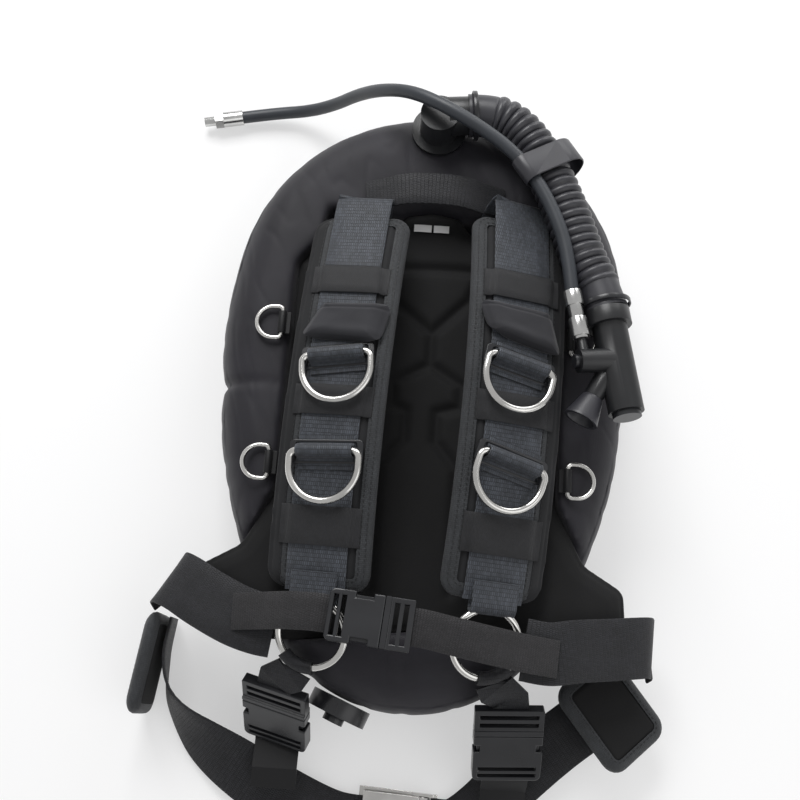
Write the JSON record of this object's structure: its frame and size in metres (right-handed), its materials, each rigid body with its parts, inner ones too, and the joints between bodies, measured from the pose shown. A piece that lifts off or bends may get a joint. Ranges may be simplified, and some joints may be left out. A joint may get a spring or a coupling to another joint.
{
  "type": "air pack",
  "caption": "Diver's soft buoyancy wing on a padded back frame with shoulder straps, steel rings, quick-release buckles, waist belt, tank bands and a corrugated inflator hose.",
  "frame": {"origin": "centre of the bounding box in X and Y, at its lowest Z, where the wing's tank side rests on the floor", "axes": "+X to the wearer's side with the inflator, +Y from the waist belt to the head, +Z from the tank side to the wearer's back"},
  "size_m": [0.4619, 0.7138, 0.1611],
  "materials": {
    "wing_nylon": "coated black nylon cloth, soft satin sheen, puckered at the rim",
    "pad_nylon": "matt black woven nylon over foam",
    "webbing": "black ribbed nylon webbing",
    "stainless_steel": "polished stainless steel",
    "plate_aluminium": "dark anodised aluminium sheet",
    "black_plastic": "black moulded acetal with a slight sheen",
    "rubber": "black rubber",
    "chromed_brass": "satin chrome over brass"
  },
  "bodies": {
    "pack": {"back_pad": "pad_nylon", "backplate": "plate_aluminium", "belt_webbing_left": "webbing", "belt_webbing_right": "webbing", "cam_bands": "webbing", "cam_buckles": "stainless_steel", "carry_handle": "webbing", "chest_buckle_socket": "black_plastic", "chest_strap_left": "webbing", "chest_strap_right": "webbing", "corrugated_hose": "rubber", "dump_valve": "black_plastic", "hip_pad_left": "pad_nylon", "hip_pad_right": "pad_nylon", "hose_retainer": "rubber", "hose_ties": "black_plastic", "inflator_body": "black_plastic", "lower_buckle_socket_left": "black_plastic", "lower_buckle_socket_right": "black_plastic", "lower_strap_left": "webbing", "lower_strap_right": "webbing", "lower_tails": "webbing", "lp_coupler": "chromed_brass", "lp_hose": "rubber", "lp_hose_fitting": "chromed_brass", "mouthpiece": "rubber", "plate_bolts": "stainless_steel", "shoulder_keepers": "webbing", "shoulder_pad_left": "pad_nylon", "shoulder_pad_right": "pad_nylon", "shoulder_webbing_left": "webbing", "shoulder_webbing_right": "webbing", "strap_slides": "black_plastic", "strap_wrap_left": "pad_nylon", "strap_wrap_right": "pad_nylon", "waist_buckle_frame": "stainless_steel", "waist_straps": "webbing", "wing_bladder": "wing_nylon", "wing_elbow": "black_plastic", "wing_ring_tabs": "webbing"},
    "shoulder_ring_left_upper_swing_body": {"shoulder_ring_left_upper": "stainless_steel"},
    "shoulder_ring_left_lower_swing_body": {"shoulder_ring_left_lower": "stainless_steel"},
    "shoulder_ring_right_upper_swing_body": {"shoulder_ring_right_upper": "stainless_steel"},
    "shoulder_ring_right_lower_swing_body": {"shoulder_ring_right_lower": "stainless_steel"},
    "wing_ring_left_upper_swing_body": {"wing_ring_left_upper": "stainless_steel"},
    "wing_ring_left_lower_swing_body": {"wing_ring_left_lower": "stainless_steel"},
    "wing_ring_right_upper_swing_body": {"wing_ring_right_upper": "stainless_steel"},
    "wing_ring_right_lower_swing_body": {"wing_ring_right_lower": "stainless_steel"},
    "joint_ring_left_turn_body": {"joint_ring_left": "stainless_steel"},
    "joint_ring_right_turn_body": {"joint_ring_right": "stainless_steel"},
    "chest_buckle_release_body": {"chest_buckle_plug": "black_plastic"},
    "lower_buckle_left_release_body": {"lower_buckle_plug_left": "black_plastic"},
    "lower_buckle_right_release_body": {"lower_buckle_plug_right": "black_plastic"},
    "waist_lever_open_body": {"waist_buckle_lever": "stainless_steel"},
    "cam_lever_upper_open_body": {"cam_lever_upper": "stainless_steel"},
    "cam_lever_lower_open_body": {"cam_lever_lower": "stainless_steel"},
    "inflate_press_body": {"inflate_button": "black_plastic"},
    "deflate_press_body": {"deflate_button": "black_plastic"},
    "coupler_sleeve_pull_body": {"lp_coupler_sleeve": "chromed_brass"},
    "dump_knob_pull_body": {"dump_knob": "black_plastic"}
  },
  "joints": [
    {"name": "shoulder_ring_left_upper_swing", "type": "hinge", "parent": "pack", "child": "shoulder_ring_left_upper_swing_body", "pos_m": [-0.06957, 0.07243, 0.14325], "axis": [-0.9811, -0.0981, -0.1669], "range_deg": [0, 110]},
    {"name": "shoulder_ring_left_lower_swing", "type": "hinge", "parent": "pack", "child": "shoulder_ring_left_lower_swing_body", "pos_m": [-0.07275, -0.01072, 0.1415], "axis": [-0.9841, -0.011, -0.1775], "range_deg": [0, 110]},
    {"name": "shoulder_ring_right_upper_swing", "type": "hinge", "parent": "pack", "child": "shoulder_ring_right_upper_swing_body", "pos_m": [0.08492, 0.07226, 0.14901], "axis": [-0.9418, 0.2065, 0.2653], "range_deg": [0, 110]},
    {"name": "shoulder_ring_right_lower_swing", "type": "hinge", "parent": "pack", "child": "shoulder_ring_right_lower_swing_body", "pos_m": [0.08152, -0.01088, 0.14729], "axis": [-0.9279, 0.2398, 0.2856], "range_deg": [0, 110]},
    {"name": "wing_ring_left_upper_swing", "type": "hinge", "parent": "pack", "child": "wing_ring_left_upper_swing_body", "pos_m": [-0.12287, 0.11198, 0.0998], "axis": [0, 1, 0], "range_deg": [0, 75]},
    {"name": "wing_ring_left_lower_swing", "type": "hinge", "parent": "pack", "child": "wing_ring_left_lower_swing_body", "pos_m": [-0.12287, -0.01402, 0.0998], "axis": [0, 1, 0], "range_deg": [0, 75]},
    {"name": "wing_ring_right_upper_swing", "type": "hinge", "parent": "pack", "child": "wing_ring_right_upper_swing_body", "pos_m": [0.13113, 0.11198, 0.0998], "axis": [0, -1, 0], "range_deg": [0, 15]},
    {"name": "wing_ring_right_lower_swing", "type": "hinge", "parent": "pack", "child": "wing_ring_right_lower_swing_body", "pos_m": [0.13113, -0.01402, 0.0998], "axis": [0, -1, 0], "range_deg": [0, 75]},
    {"name": "joint_ring_left_turn", "type": "hinge", "parent": "pack", "child": "joint_ring_left_turn_body", "pos_m": [-0.07287, -0.15432, 0.10808], "axis": [-0.1782, -0.2774, 0.9441], "continuous": true},
    {"name": "joint_ring_right_turn", "type": "hinge", "parent": "pack", "child": "joint_ring_right_turn_body", "pos_m": [0.06717, -0.15395, 0.11468], "axis": [0.2542, -0.2936, 0.9215], "continuous": true},
    {"name": "chest_buckle_release", "type": "slide", "parent": "pack", "child": "chest_buckle_release_body", "axis": [0.9962, -0.0872, 0], "range_m": [0, 0.03], "deforming": ["chest_strap_right"]},
    {"name": "lower_buckle_left_release", "type": "slide", "parent": "pack", "child": "lower_buckle_left_release_body", "axis": [0, 0.6, 0.8], "range_m": [0, 0.021], "deforming": ["lower_strap_left"]},
    {"name": "lower_buckle_right_release", "type": "slide", "parent": "pack", "child": "lower_buckle_right_release_body", "axis": [-0.03, 0.7996, 0.5997], "range_m": [0, 0.021], "deforming": ["lower_strap_right"]},
    {"name": "waist_lever_open", "type": "hinge", "parent": "pack", "child": "waist_lever_open_body", "pos_m": [0.0261, -0.30718, 0.0095], "axis": [0.0523, 0.9986, 0], "range_deg": [0, 110]},
    {"name": "cam_lever_upper_open", "type": "hinge", "parent": "pack", "child": "cam_lever_upper_open_body", "pos_m": [0.01613, 0.14598, 0.0125], "axis": [0, 1, 0], "range_deg": [0, 100]},
    {"name": "cam_lever_lower_open", "type": "hinge", "parent": "pack", "child": "cam_lever_lower_open_body", "pos_m": [0.01613, 0.00198, 0.0125], "axis": [0, 1, 0], "range_deg": [0, 100]},
    {"name": "inflate_press", "type": "slide", "parent": "pack", "child": "inflate_press_body", "axis": [0.9598, 0.1633, -0.2285], "range_m": [0, 0.003], "stiffness_N_per_m": 1200},
    {"name": "deflate_press", "type": "slide", "parent": "pack", "child": "deflate_press_body", "axis": [-0.1838, 0.9804, -0.0715], "range_m": [0, 0.003], "stiffness_N_per_m": 1500},
    {"name": "coupler_sleeve_pull", "type": "slide", "parent": "pack", "child": "coupler_sleeve_pull_body", "axis": [-0.2036, 0.9788, -0.02], "range_m": [0, 0.004], "stiffness_N_per_m": 1500},
    {"name": "dump_knob_pull", "type": "slide", "parent": "pack", "child": "dump_knob_pull_body", "axis": [-0.3746, -0.9272, 0], "range_m": [0, 0.008], "stiffness_N_per_m": 600}
  ]
}
